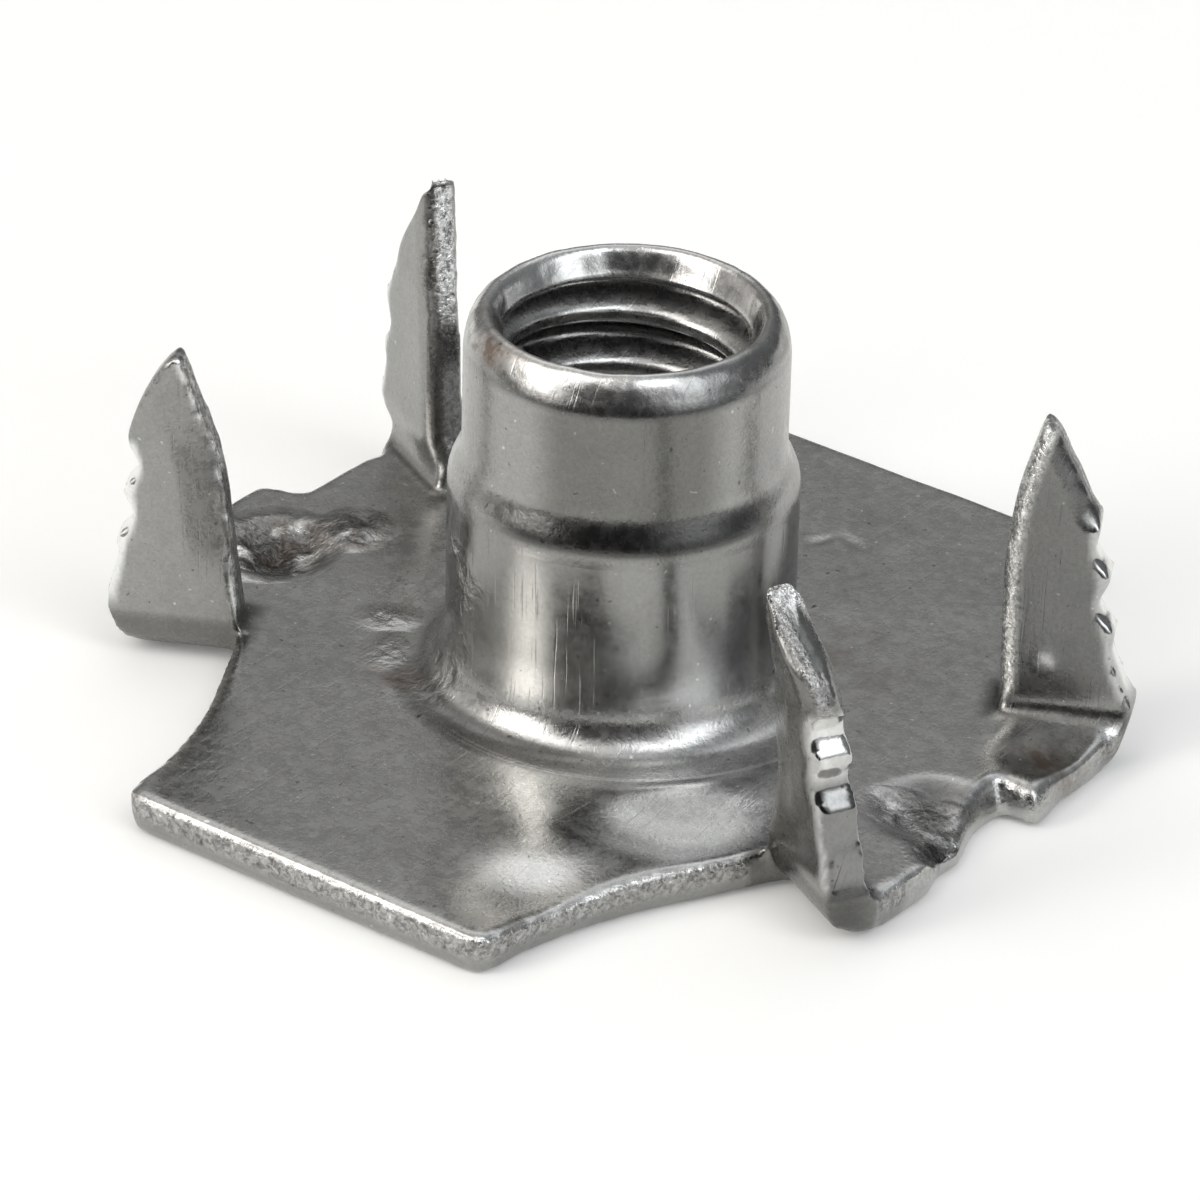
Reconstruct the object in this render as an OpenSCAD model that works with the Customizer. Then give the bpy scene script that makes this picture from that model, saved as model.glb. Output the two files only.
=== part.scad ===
// Sliding T-nut: a four-prong tee nut pressed from one piece of steel strip.
// Millimetres. The origin is the centre of the flange's underside, the thread axis is +Z and
// the two straight sides of the flange run along X.

/* [Sheet] */
// thickness of the steel strip
sheet_thick = 1.0; // [0.8:0.05:1.3]
// radius left inside each prong's fold
bend_in_r = 0.3; // [0.2:0.05:0.8]

/* [Flange] */
// distance between the two straight sides, along Y
flange_across = 22.0; // [20:0.5:26]
// distance from the axis to each cut-off end, along X
flange_end = 10.1; // [9.6:0.1:12]
// length of the tongue on the -X end, and depth of the matching notch in the +X end
tongue_reach = 1.0; // [0:0.1:1.5]
// rounding of the four corners of the straight sides
corner_round = 0.45; // [0.2:0.05:0.8]
// rounding of the corners of the cut-off ends
end_round = 0.5; // [0.2:0.05:1]
// width of the coined pit in the middle of each end
pit_width = 2.8; // [0:0.1:3.4]
// depth of the coined pits
pit_depth = 0.35; // [0.1:0.05:0.5]

/* [Prongs] */
// height of the prong tips above the top of the flange
prong_height = 7.0; // [5:0.1:8.5]
// angle of each prong's fold line from the X axis
prong_angle = 28; // [24:1:34]
// distance from the axis to a prong's smooth inner edge
prong_inner_r = 8.35; // [7.5:0.05:9]
// width of a prong where it leaves the flange
prong_root_width = 2.95; // [2.4:0.05:3.4]
// how far a prong's outer edge runs in again across its fold
root_slant = 0.4; // [0.1:0.05:0.8]
// width of a prong across its top barb
prong_top_width = 2.35; // [1.8:0.05:2.8]
// radius of the long curve of the inner edge, and of the cut it leaves in the flange
prong_curve_r = 10.0; // [8:0.5:14]
// height above the flange at which that curve starts
prong_curve_start = 2.6; // [1.5:0.1:4]
// distance between one barb and the next
barb_pitch = 1.3; // [1:0.05:1.5]
// depth of the bite cut under each barb
barb_bite = 0.3; // [0.15:0.05:0.45]
// distance from a prong's tip down to its first barb
barb_first = 2.3; // [1.8:0.1:3]
// outward lean of the prongs: front right, front left, back right, back left (degrees)
prong_leans = [8, 5, 3, 0]; // [-5:0.5:10]
// how much lower each prong's tip stands, in the same order
prong_drops = [0, 0.2, 0.15, -0.35]; // [-0.5:0.05:0.5]

/* [Barrel] */
// height of the barrel's rim above the top of the flange
barrel_height = 8.65; // [6:0.05:11]
// outside diameter of the upper barrel
barrel_dia = 7.0; // [6.6:0.1:7.6]
// width of the rounding rolled round the outside of the rim
rim_round = 0.42; // [0.2:0.02:0.6]
// height of that rounding
rim_roll = 0.68; // [0.3:0.05:0.9]
// depth of the countersink inside the crest
mouth_depth = 0.7; // [0.2:0.05:0.9]
// outside diameter of the lower barrel, left by the first draw
base_dia = 7.6; // [7:0.1:8]
// height above the flange at which the barrel starts to narrow
step_height = 4.5; // [3.5:0.1:5.5]
// height over which it narrows to the upper barrel
step_run = 1.15; // [0.6:0.05:1.6]
// radius of the fillet between barrel and flange
root_fillet = 0.75; // [0.5:0.05:1.4]
// radius drawn into the underside of the bore
draw_radius = 1.0; // [0.5:0.1:1.4]

/* [Thread] */
// nominal diameter of the thread (a 1/4 inch screw)
thread_nominal = 6.35; // [6.35:0.01:6.35]
// threads per inch
thread_tpi = 20; // [18:1:28]
// diameter of the tapped bore, over the crests of the thread
bore_dia = 5.1; // [4.98:0.01:5.25]

/* [Output] */
// which part to draw

/* [Hidden] */
$fn = 96;
eps = 0.01;
fold_out_r = bend_in_r + sheet_thick;             // outer radius of a fold
strip_half = flange_across / 2;
axis_up = sheet_thick + bend_in_r;                // height of the fold axes
fold_s = -0.05 - bend_in_r - sheet_thick / 2;     // fold line, measured out from the radial line
prong_outer_r = prong_inner_r + prong_root_width; // outer end of a prong's root
tip_h = prong_height - bend_in_r;                 // tip above the fold axis
curve_s = prong_curve_start + 0.4;                // where the same curve starts in the flat
rim_z = sheet_thick + barrel_height;
end_slope = 2.7 * tongue_reach;                   // run of the tongue's slanted flank
pitch = 25.4 / thread_tpi;

// Point list with every corner rounded: each item of pts is [x, y, radius].
function unit(v) = v / norm(v);
function corner(a, p, b, r, n) =
    let (u = unit([a.x - p.x, a.y - p.y]), v = unit([b.x - p.x, b.y - p.y]),
         half = acos(max(-1, min(1, u * v))) / 2,
         run = r / tan(half), mid = unit(u + v),
         c = [p.x, p.y] + mid * (r / sin(half)),
         t0 = [p.x, p.y] + u * run - c, t1 = [p.x, p.y] + v * run - c,
         a0 = atan2(t0.y, t0.x), turn = atan2(t0.x * t1.y - t0.y * t1.x, t0 * t1))
    [for (i = [0:n]) c + r * [cos(a0 + turn * i / n), sin(a0 + turn * i / n)]];
function rounded(pts, n = 6) =
    [for (i = [0:len(pts) - 1])
        let (a = pts[(i + len(pts) - 1) % len(pts)], p = pts[i], b = pts[(i + 1) % len(pts)])
        each (p[2] > 0 ? corner(a, p, b, p[2], n) : [[p.x, p.y]])];

// Outline of the strip between two cuts: a tongue on the -X end and its notch in the +X end.
module strip_blank() {
    e = flange_end;
    r = end_round;
    a = prong_angle;
    // where the outer end of each fold line meets the cut end
    px = (prong_outer_r - root_slant) * cos(a) - fold_s * sin(a);
    py = (prong_outer_r - root_slant) * sin(a) + fold_s * cos(a);
    polygon(rounded([
        [px, -strip_half, 0], [px, -py, 0], [e, 0.2 - end_slope, r * 2],
        [e - tongue_reach, 0.2, r], [e - tongue_reach, 1.3, r * 0.6], [e, 1.6, r * 0.4],
        [e, py - 1.4, r * 2], [px, py, 0], [px, strip_half, 0],
        [-px, strip_half, 0], [-px, py, 0], [-e, py - 1.4, r * 2],
        [-e, 1.6, r * 0.4], [-e - tongue_reach, 1.3, r * 0.6],
        [-e - tongue_reach, 0.2, r], [-e, 0.2 - end_slope, r * 2],
        [-px, -py, 0], [-px, -strip_half, 0]]));
}

// Flat region of the strip that folds up into one prong, and the scrap beyond it.
module prong_window() {
    translate([prong_inner_r, fold_s]) square([8, curve_s - fold_s]);
    intersection() {
        translate([prong_inner_r + prong_curve_r, curve_s]) circle(prong_curve_r, $fn = 180);
        translate([prong_inner_r, curve_s - 1]) square([8, strip_half]);
    }
}

// Rounding where a prong's cut meets the straight side.
module corner_trim() {
    a = prong_angle;
    cx = (prong_inner_r + prong_curve_r) * cos(a) - curve_s * sin(a);
    cy = (prong_inner_r + prong_curve_r) * sin(a) + curve_s * cos(a);
    y = strip_half - corner_round;
    reach = prong_curve_r + corner_round;
    x = cx - sqrt(reach * reach - (y - cy) * (y - cy));
    k = prong_curve_r / reach;
    difference() {
        polygon([[x, y], [x, strip_half + 1], [x + 2, strip_half + 1],
                 [x + (cx - x) * (1 - k), y + (cy - y) * (1 - k)]]);
        translate([x, y]) circle(corner_round);
    }
}

module quadrants() {
    for (sx = [0, 1]) for (sy = [0, 1])
        mirror([sx, 0, 0]) mirror([0, sy, 0]) children();
}

module flange() {
    linear_extrude(sheet_thick)
        difference() {
            strip_blank();
            quadrants() {
                rotate([0, 0, prong_angle]) prong_window();
                corner_trim();
            }
        }
}

// Coined pits, one in the middle of each end.
module end_pits() {
    r = (pit_width * pit_width / 4 + pit_depth * pit_depth) / (2 * pit_depth);
    for (sx = [-1, 1])
        translate([sx * (flange_end - 1.2), -0.8, sheet_thick + r - pit_depth]) sphere(r);
}

// Points along an arc round c, from angle a0 to a1.
function arc(c, r, a0, a1, n = 12) =
    [for (i = [0:n]) let (a = a0 + (a1 - a0) * i / n) c + r * [cos(a), sin(a)]];

// Cross-section of a prong: the fold, then the blade leaning outward by lean degrees.
module prong_section(lean) {
    c = [fold_s, axis_up];
    up = (tip_h + 1.2) * [sin(lean), cos(lean)];
    out = [cos(lean), -sin(lean)];
    polygon(concat(
        arc(c, fold_out_r, -90, -lean), [c + fold_out_r * out + up, c + bend_in_r * out + up],
        arc(c, bend_in_r, -lean, -90)));
}

// Side view of a prong: smooth curved inner edge, rounded tip, barbs down the outer edge.
module prong_outline(drop) {
    top_r = prong_inner_r + prong_top_width;
    tip_z = sheet_thick + prong_height - drop;
    curve_z = sheet_thick + prong_curve_start;
    b0 = tip_z - barb_first;                                   // first barb
    step = (prong_outer_r - 0.25 - top_r) / 3;                 // each barb stands further out
    foot_r = prong_outer_r - root_slant;
    intersection() {
        union() {
            translate([prong_inner_r, -1]) square([6, curve_z + 1]);
            intersection() {
                translate([prong_inner_r + prong_curve_r, curve_z])
                    circle(prong_curve_r, $fn = 180);
                translate([prong_inner_r, curve_z - 1]) square([6, tip_z]);
            }
        }
        polygon(concat(
            [[prong_inner_r - 1, -1], [prong_inner_r - 1, tip_z], [prong_inner_r + 1.0, tip_z]],
            [for (p = [[1.25, 0.12], [1.55, 0.5], [1.92, 1.12], [2.2, 1.72]])
                [prong_inner_r + p[0], tip_z - p[1]]],
            [[top_r, b0 + 0.2]],
            [for (i = [0:1]) let (x = top_r + step * i, y = b0 - barb_pitch * i)
                each [[x, y], [x - barb_bite + 0.04, y - 0.42], [x - barb_bite, y - 0.68],
                      [x + step, y - 1.1]]],
            [let (x = top_r + step * 2, y = b0 - barb_pitch * 2) each [[x, y],
                [x - barb_bite * 0.4, y - 0.3]]],
            [[prong_outer_r - 0.12, axis_up + 0.35], [prong_outer_r, axis_up],
             [foot_r, 0], [foot_r, -1]]));
    }
}

// One prong with its fold, standing on the fold line and leaning outward by lean degrees,
// with its tip drop below the usual height.
module prong(lean, drop) {
    rotate([0, 0, prong_angle]) intersection() {
        rotate([90, 0, 90]) linear_extrude(prong_outer_r + 1) prong_section(lean);
        translate([0, strip_half / 2, 0]) rotate([90, 0, 0])
            linear_extrude(strip_half) prong_outline(drop);
    }
}

// Half section of the barrel, from the flange's underside to the rim.
module barrel_section() {
    ru = barrel_dia / 2;
    rl = base_dia / 2;
    rb = bore_dia / 2;
    rf = rl + root_fillet;
    zr = rim_z - rim_roll;
    zk = min(sheet_thick + step_height, zr - step_run - 0.2);
    difference() {
        polygon(concat(
            [[rb, 0], [rf, 0], [rf, sheet_thick], [rl, sheet_thick + root_fillet]],
            [for (i = [0:8]) let (t = i / 8)
                [rl - (rl - ru) * t * t * (3 - 2 * t), zk + step_run * t]],
            [for (i = [0:8]) let (a = 90 * i / 8)
                [ru - rim_round * (1 - cos(a)), zr + rim_roll * sin(a)]],
            [[rb, rim_z - mouth_depth]]));
        translate([rf, sheet_thick + root_fillet]) circle(root_fillet);
    }
}

module barrel() {
    rotate_extrude() barrel_section();
}

// Bore with the radius that the draw leaves at its lower end.
module bore() {
    rb = bore_dia / 2;
    translate([0, 0, -1]) cylinder(h = rim_z + 2, r = rb);
    rotate_extrude() difference() {
        translate([0, -1]) square([rb + draw_radius, 1 + draw_radius]);
        translate([rb + draw_radius, draw_radius]) circle(draw_radius);
        translate([rb + draw_radius, -2]) square([1, 3]);
    }
}

module t_nut() {
    color("silver") difference() {
        union() {
            difference() {
                flange();
                end_pits();
            }
            prong(prong_leans[2], prong_drops[2]);
            mirror([0, 1, 0]) prong(prong_leans[0], prong_drops[0]);
            mirror([1, 0, 0]) prong(prong_leans[3], prong_drops[3]);
            mirror([1, 0, 0]) mirror([0, 1, 0]) prong(prong_leans[1], prong_drops[1]);
            barrel();
        }
        bore();
    }
}

t_nut();
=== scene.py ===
"""Dressed model of a pressed steel tee nut: a drawn, tapped barrel on a notched flange
with four folded, barbed prongs. Lengths are in millimetres, and are turned to metres where
a mesh is made; the stage, the camera and the depths of relief are in metres throughout.
+Z is the thread axis, +X runs along the two straight sides."""

import math
from functools import partial
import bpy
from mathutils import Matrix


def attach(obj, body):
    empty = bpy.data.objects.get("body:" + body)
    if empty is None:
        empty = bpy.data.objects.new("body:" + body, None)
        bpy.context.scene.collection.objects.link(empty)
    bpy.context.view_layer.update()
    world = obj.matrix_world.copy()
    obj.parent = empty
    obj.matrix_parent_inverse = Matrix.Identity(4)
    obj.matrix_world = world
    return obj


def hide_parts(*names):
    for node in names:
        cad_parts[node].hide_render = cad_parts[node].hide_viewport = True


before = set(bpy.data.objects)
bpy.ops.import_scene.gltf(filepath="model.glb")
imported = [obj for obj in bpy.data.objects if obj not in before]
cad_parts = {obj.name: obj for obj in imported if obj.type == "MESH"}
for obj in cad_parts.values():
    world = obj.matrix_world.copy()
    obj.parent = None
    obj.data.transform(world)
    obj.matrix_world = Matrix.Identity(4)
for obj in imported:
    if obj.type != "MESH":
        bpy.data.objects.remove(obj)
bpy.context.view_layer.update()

from types import SimpleNamespace

import bpy
import numpy as np
from bpy.props import FloatProperty, FloatVectorProperty, IntProperty, PointerProperty
from bpy.types import Operator, Panel, PropertyGroup
from mathutils import Matrix, Vector

bl_info = {
    "name": "Sliding tee nut",
    "version": (1, 0, 0),
    "blender": (4, 5, 0),
    "location": "3D View > Sidebar > Tee nut",
    "description": "Presses, taps and finishes a four-prong tee nut around its solid",
    "category": "Object",
}

SHEET = 1.0                      # thickness of the sheet, and height of the flange's top
BASE_R = 3.8                     # radius of the barrel below its step
TOP_R = 3.5                      # radius of the barrel above its step
STEP_Z, STEP_RISE = 5.62, 0.92   # height at which the step starts, and how far up it runs
SEAM_R = 4.85                    # ring where the turned barrel mesh meets the flange mesh
SCORES = [((0.34, 0.13), 4.96), ((0.25, 0.2), 5.14)]   # centre and radius of the scored rings
FOLD_Z = 1.3                     # height at which the prongs' blades start above their folds
FOOT_R = (7.8, 8.2)              # distance from the axis over which a prong's foot begins
PRONG_ANGLE = 28.0               # of each prong's plane from the straight sides, in degrees
INNER_FACE = -0.55               # distance of a blade's inner face from its radial plane
FIRST_BARB = 5.6                 # height of each prong's top barb
PIN_MARK = (9.36, 2.33, 0.4)     # distance out, height and radius of the knock-out pin's mark
VIEW_AZIMUTH = -53.5             # of the side that the studio light is set up for

# The prongs' quadrants in plan, named as they stand when looked at from the lit side.
LEFT, FAR, RIGHT, NEAR = (-1, -1), (-1, 1), (1, 1), (1, -1)

# Each prong's lean in degrees, and how its blade differs from the even shape at some heights,
# as (height, shift of the inner edge, shift of the outer edge, bow).
PRONGS = {
    LEFT: (5, [(1.5, 0.0, 0.12, 0.0), (2.4, 0.1, 0.2, 0.0), (4.0, 0.22, 0.1, 0.0),
               (5.6, 0.27, 0.05, 0.0), (6.8, 0.36, 0.17, 0.0), (7.8, 0.3, 0.26, 0.0)]),
    FAR: (0, [(1.5, 0.15, 0.35, 0.0), (2.2, 0.4, 0.5, -0.15), (4.5, 0.4, 0.45, -0.2),
              (5.8, 0.4, 0.5, -0.2), (6.6, 0.45, 0.25, -0.1), (8.3, 0.25, -0.2, 0.0)]),
    RIGHT: (3, [(1.5, 0.0, -0.1, 0.0), (4.0, -0.06, -0.18, 0.0), (5.2, -0.12, -0.2, 0.0),
                (6.0, -0.18, -0.52, 0.0), (7.0, -0.22, -0.56, 0.0), (7.9, -0.3, -0.4, 0.0)]),
    NEAR: (8, [(1.5, 0.1, 0.0, 0.1), (2.2, 0.35, 0.05, -0.05), (4.8, 0.4, 0.12, -0.1),
               (5.8, 0.35, 0.42, -0.1), (6.5, 0.3, 0.3, -0.05), (7.2, 0.1, -0.25, 0.0),
               (8.0, 0.0, -0.4, 0.0)]),
}

# Spots on the flange, each with its centre, its radii, its turn in degrees and a last value:
# a height for the dents, and a strength for the others, 1 or more for the full mark.
DENTS = [((3.4, -7.2), (2.2, 1.9), 60, 0.14), ((4.6, -8.9), (2.2, 1.8), 60, -0.17),
         ((4.2, -3.3), (2.8, 1.5), 36, 0.15), ((5.3, -4.9), (2.8, 1.6), 36, -0.23),
         ((-5.4, 3.6), (1.3, 0.9), 10, -0.06),
         ((-4.1, -2.9), (0.9, 0.5), 120, -0.10), ((-5.0, -1.7), (0.7, 0.5), 30, -0.10),
         ((9.5, 2.8), (1.9, 1.3), 60, -0.26), ((9.75, -1.5), (1.4, 0.9), 108, -0.42),
         ((8.5, -1.0), (1.5, 0.9), 20, -0.10), ((-9.0, -0.6), (1.6, 1.3), 10, -0.22),
         ((0.8, 7.6), (0.8, 0.2), -20, -0.05), ((0.2, 7.2), (0.6, 0.2), 70, -0.05)]
PITS = [((8.6, -0.9), (1.3, 0.9), 20, 0.8), ((9.75, -1.5), (1.5, 0.8), 108, 1.0),
        ((-9.1, -0.8), (1.7, 1.8), 0, 1.0), ((-8.1, 0.9), (1.0, 1.1), 0, 0.8)]
# ledges in painted shade beside the right pits
LEDGE_SHADES = [((8.4, -0.1), (1.5, 0.8), 20, 1.0), ((9.6, -1.6), (1.2, 0.65), 108, 1.6)]
STAINS = [((9.4, 2.6), (1.3, 1.2), 0, 1.0), ((-8.6, 0.2), (2.0, 2.0), 0, 0.7),
          ((4.0, 3.0), (2.5, 2.5), 0, 0.5)]
SCUFFS = [((-4.1, -2.9), (1.1, 0.7), 120, 1.0), ((-5.0, -1.7), (0.9, 0.7), 30, 1.0)]

# Marks at each point of the surface, from 0 to 1, as the material reads them. In order:
# broken grain; plating rubbed through to steel, with painted highlights; burnished by a tool;
# stretched plating, with painted shade on the barrel's front; painted shade in the step, under
# the lip, in the mouth, thread, pits and cracks and on faces turned from the light, with other
# darker patches; oil and rust; coarse wear; where the drawing die's rings show.
MARKS = ("torn", "bare", "polish", "dull", "dark", "stain", "scuff", "scored")

# Lit panels of the tent: direction from the viewing side, height, half width and half height,
# all in degrees, and strength.
TENT_PANELS = [(-62, 30, 13, 15, 7.6), (52, 30, 15, 13, 3.2), (26, 33, 8, 12, 0.4),
               (-46, 59, 24, 13, 3.2), (34, 54, 24, 13, 4.0), (0, 90, 400, 15, 0.7),
               (180, 56, 70, 13, 1.2), (180, 30, 60, 12, 0.1), (-92, 38, 14, 10, 0.7),
               (-84, 44, 9, 9, 3.0), (-112, 12, 14, 12, 1.2), (52, 9, 20, 11, 0.4)]
TENT_RADIUS, FLOOR_RADIUS = 0.6, 1.2                     # in metres

# The camera: place in metres, level direction to its right, direction of view, roll in degrees.
CAMERA_PLACE = (0.08934, -0.12162, 0.08774)
CAMERA_RIGHT = (0.8042, 0.5944, 0)
CAMERA_FORWARD = (-0.5175, 0.7002, -0.4918)
CAMERA_ROLL = 1.53
LENS_MM, SENSOR_MM = 240, 36


def srgb(code):
    """Linear colour of an sRGB hex value such as "#7F7F7F"."""
    values = [int(code[i:i + 2], 16) / 255 for i in (1, 3, 5)]
    return [v / 12.92 if v <= 0.04045 else ((v + 0.055) / 1.055) ** 2.4 for v in values]


# --- numbers and noise ---------------------------------------------------------------

def ramp(low, high, value):
    """0 below low, 1 above high, and smooth between them."""
    t = np.clip((value - low) / (high - low), 0, 1)
    return t * t * (3 - 2 * t)


def spot(points, centre, radii, turn=0.0):
    """1 at the centre of an ellipse lying in plan, falling smoothly to 0 at its edge."""
    c, s = math.cos(math.radians(turn)), math.sin(math.radians(turn))
    d = points[:, :2] - np.array(centre)
    along, across = d @ np.array([c, s]) / radii[0], d @ np.array([-s, c]) / radii[1]
    return 1 - ramp(0.0, 1.0, np.hypot(along, across))


def spots(points, rows, power=1.0):
    """The highest of several spots, from rows of centre, radii, turn and strength."""
    return np.maximum.reduce([strength * spot(points, centre, radii, turn) ** power
                              for centre, radii, turn, strength in rows])


def from_front(angle):
    """Degrees from the viewing side, -180 to 180 and positive to the right, of a plan angle
    in radians."""
    return (np.degrees(angle) - VIEW_AZIMUTH + 180) % 360 - 180


def grain(points, size, seed):
    """Smooth random values from -1 to 1 that change over about size millimetres."""
    table = np.random.default_rng(seed).uniform(-1, 1, (32, 32, 32))
    q = points / size + 1000.0                           # keeps the cells' numbers positive
    cell = np.floor(q).astype(int)
    f = q - cell
    f = f * f * (3 - 2 * f)
    total = np.zeros(len(points))
    for dx, dy, dz in np.ndindex(2, 2, 2):
        weight = (np.where(dx, f[:, 0], 1 - f[:, 0])
                  * np.where(dy, f[:, 1], 1 - f[:, 1])
                  * np.where(dz, f[:, 2], 1 - f[:, 2]))
        total += weight * table[(cell[:, 0] + dx) % 32, (cell[:, 1] + dy) % 32,
                                (cell[:, 2] + dz) % 32]
    return total


def vertex_normals(points, faces):
    """Area-weighted normals; faces is a list of index arrays of 3 or 4 columns."""
    normals = np.zeros_like(points)
    for f in faces:
        n = np.cross(points[f[:, 2]] - points[f[:, 0]], points[f[:, -1]] - points[f[:, 1]])
        for k in range(f.shape[1]):
            for axis in range(3):
                normals[:, axis] += np.bincount(f[:, k], n[:, axis], len(points))
    return normals / np.maximum(np.linalg.norm(normals, axis=1, keepdims=True), 1e-12)


def relax(points, faces, passes, weight):
    """Moves each point towards the mean of its neighbours, weight of the way each pass."""
    edges = np.concatenate([f[:, [k, (k + 1) % f.shape[1]]]
                            for f in faces for k in range(f.shape[1])])
    edges = np.unique(np.sort(edges, axis=1), axis=0)
    ends = np.concatenate([edges, edges[:, ::-1]])
    count = np.maximum(np.bincount(ends[:, 0], minlength=len(points)), 1)
    for _ in range(passes):
        mean = np.stack([np.bincount(ends[:, 0], points[ends[:, 1], axis], len(points))
                         for axis in range(3)], 1) / count[:, None]
        points = points + (mean - points) * np.reshape(weight, (-1, 1))
    return points


# --- sizes and colours that a user may change -----------------------------------------

class PressingSizes(PropertyGroup):
    mesh_step: FloatProperty(
        name="Mesh step", description="Spacing of the pressed body's mesh, in mm",
        default=0.127, min=0.11, max=0.5)
    edge_roll: IntProperty(
        name="Edge roll", description="How far the blanking tool rolls the lower edges over",
        default=16, min=0, max=60)
    edge_tear: FloatProperty(
        name="Edge tear", description="Roughness of the sheared edges, in mm",
        default=0.035, min=0, max=0.1)
    sheet_wave: FloatProperty(
        name="Sheet wave", description="Unevenness that pressing leaves in the sheet, in mm",
        default=0.03, min=0, max=0.1)
    pit_tear: FloatProperty(
        name="Pit tear", description="Roughness inside the coined pits, in mm",
        default=0.22, min=0, max=0.4)
    thread_pitch: FloatProperty(
        name="Thread pitch", description="Distance from one turn to the next, in mm",
        default=1.27, min=0.8, max=1.6)
    thread_depth: FloatProperty(
        name="Thread depth", description="Depth of the thread below the bore's wall, in mm",
        default=0.62, min=0.1, max=0.65)
    bore_radius: FloatProperty(
        name="Bore radius", description="Radius over the crests of the thread, in mm",
        default=2.55, min=2.4, max=2.8)


class SteelFinish(PropertyGroup):
    plated: FloatVectorProperty(
        name="Plated sheet", description="Colour of the flat, zinc-plated sheet",
        subtype="COLOR", size=3, min=0, max=1, default=srgb("#B5B5B3"))
    # also the colour that paints shade on the barrel's front, above its step
    drawn: FloatVectorProperty(
        name="Drawn barrel", description="Colour of the stretched, duller barrel",
        subtype="COLOR", size=3, min=0, max=1, default=srgb("#7A7A77"))
    sheared: FloatVectorProperty(
        name="Sheared edge", description="Colour of the torn, bare edges",
        subtype="COLOR", size=3, min=0, max=1, default=srgb("#ABAAA8"))
    # also the colour of the painted highlights
    bare: FloatVectorProperty(
        name="Bare steel", description="Colour where the plating is rubbed through",
        subtype="COLOR", size=3, min=0, max=1, default=srgb("#EAEAE8"))
    stain: FloatVectorProperty(
        name="Stain", description="Colour of the faint oil and rust stains",
        subtype="COLOR", size=3, min=0, max=1, default=srgb("#5E4632"))
    grain_mm: FloatProperty(
        name="Grain", description="Size of the plating's mottle, in mm",
        default=0.28, min=0.05, max=2)


class StudioLight(PropertyGroup):
    floor_colour: FloatVectorProperty(
        name="Floor", description="Colour of the floor", subtype="COLOR", size=3,
        min=0, max=1, default=srgb("#F4F4F2"))
    level: FloatProperty(
        name="Light level", description="Brightness of the tent's panels",
        default=0.91, min=0, max=4)


# --- the mesh of the nut ----------------------------------------------------------------

def remeshed_solid(node, step):
    """Points (mm) and quads of the node's solid on an even mesh, and removes its copies."""
    source = node.data.copy()
    source.transform(Matrix.Scale(1000, 4))
    holder = bpy.data.objects.new("pressing", source)
    bpy.context.scene.collection.objects.link(holder)
    even = holder.modifiers.new("even mesh", "REMESH")
    even.mode = "VOXEL"
    even.voxel_size = step
    result = holder.evaluated_get(bpy.context.evaluated_depsgraph_get()).to_mesh()
    points = np.empty(len(result.vertices) * 3)
    result.vertices.foreach_get("co", points)
    quads = np.empty(len(result.polygons) * 4, int)
    if len(result.loops) != len(quads):
        raise RuntimeError("the even mesh isn't all quads")
    result.polygons.foreach_get("vertices", quads)
    bpy.data.objects.remove(holder)
    bpy.data.meshes.remove(source)
    return points.reshape(-1, 3), quads.reshape(-1, 4)


def without_barrel(points, quads):
    """The mesh outside the seam ring, with the faces of the barrel and bore taken out."""
    radius = np.hypot(points[:, 0], points[:, 1])
    quads = quads[(radius[quads] > SEAM_R + 0.12).all(axis=1)]
    used = np.unique(quads)
    index = np.full(len(points), -1)
    index[used] = np.arange(len(used))
    return points[used], index[quads]


def open_rings(points, quads):
    """The two open borders round the hole, each sorted by angle: (upper, lower)."""
    edges = np.concatenate([quads[:, [k, (k + 1) % 4]] for k in range(4)])
    ordered, count = np.unique(np.sort(edges, axis=1), axis=0, return_counts=True)
    border = np.unique(ordered[count == 1])
    angle = np.arctan2(points[border, 1], points[border, 0])
    border = border[np.argsort(angle)]
    upper = points[border, 2] > SHEET / 2
    return border[upper], border[~upper]


def zipped(points, inner, outer, flip):
    """Triangles between two rings that are both sorted by angle."""
    def angles(ring):
        return np.arctan2(points[ring, 1], points[ring, 0])
    a, b = angles(inner), angles(outer)
    a, b = np.append(a, a[0] + 2 * math.pi), np.append(b, b[0] + 2 * math.pi)
    i = j = 0
    triangles = []
    while i < len(inner) or j < len(outer):
        p, q = inner[i % len(inner)], outer[j % len(outer)]
        if j >= len(outer) or (i < len(inner) and a[i + 1] <= b[j + 1]):
            i += 1
            triangle = [p, q, inner[i % len(inner)]]
        else:
            j += 1
            triangle = [p, q, outer[j % len(outer)]]
        triangles.append(triangle[::-1] if flip else triangle)
    return np.array(triangles)


def barrel_profile(bore):
    """Two lines of (radius, height) points along the barrel's section: from the seam on top of
    the flange up over the rim and into the mouth, and from the bore's lower end out to the
    seam underneath."""
    spread, rise = 0.8, 1.05         # how far the foot spreads out, and how high it starts
    mouth = 1.0                      # radius of the bend at the bore's lower end
    foot = [(BASE_R + spread - spread * math.sin(a), SHEET + rise - rise * math.cos(a))
            for a in np.radians(np.linspace(0, 90, 15))]
    step = [(BASE_R - (BASE_R - TOP_R) * t * t * (3 - 2 * t), STEP_Z + STEP_RISE * t)
            for t in np.linspace(0, 1, 13)]
    lip = [(3.49, 8.85), (3.465, 8.98), (3.43, 9.12), (3.38, 9.26), (3.31, 9.4), (3.22, 9.52),
           (3.12, 9.61), (3.04, 9.645), (2.95, 9.6), (2.86, 9.43)]
    funnel = [(2.75, 9.18), (2.64, 8.98), (bore, 8.9)]
    outside = ([(SEAM_R, SHEET)] + foot + [(BASE_R, 3.0), (BASE_R, 4.5)] + step
               + [(TOP_R, 7.5), (TOP_R, 8.72)] + lip + funnel)
    inside = [(bore + mouth + mouth * math.cos(a), mouth + mouth * math.sin(a))
              for a in np.radians(np.linspace(180, 270, 15))] + [(4.3, 0.0), (SEAM_R, 0.0)]
    return outside, inside


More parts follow.
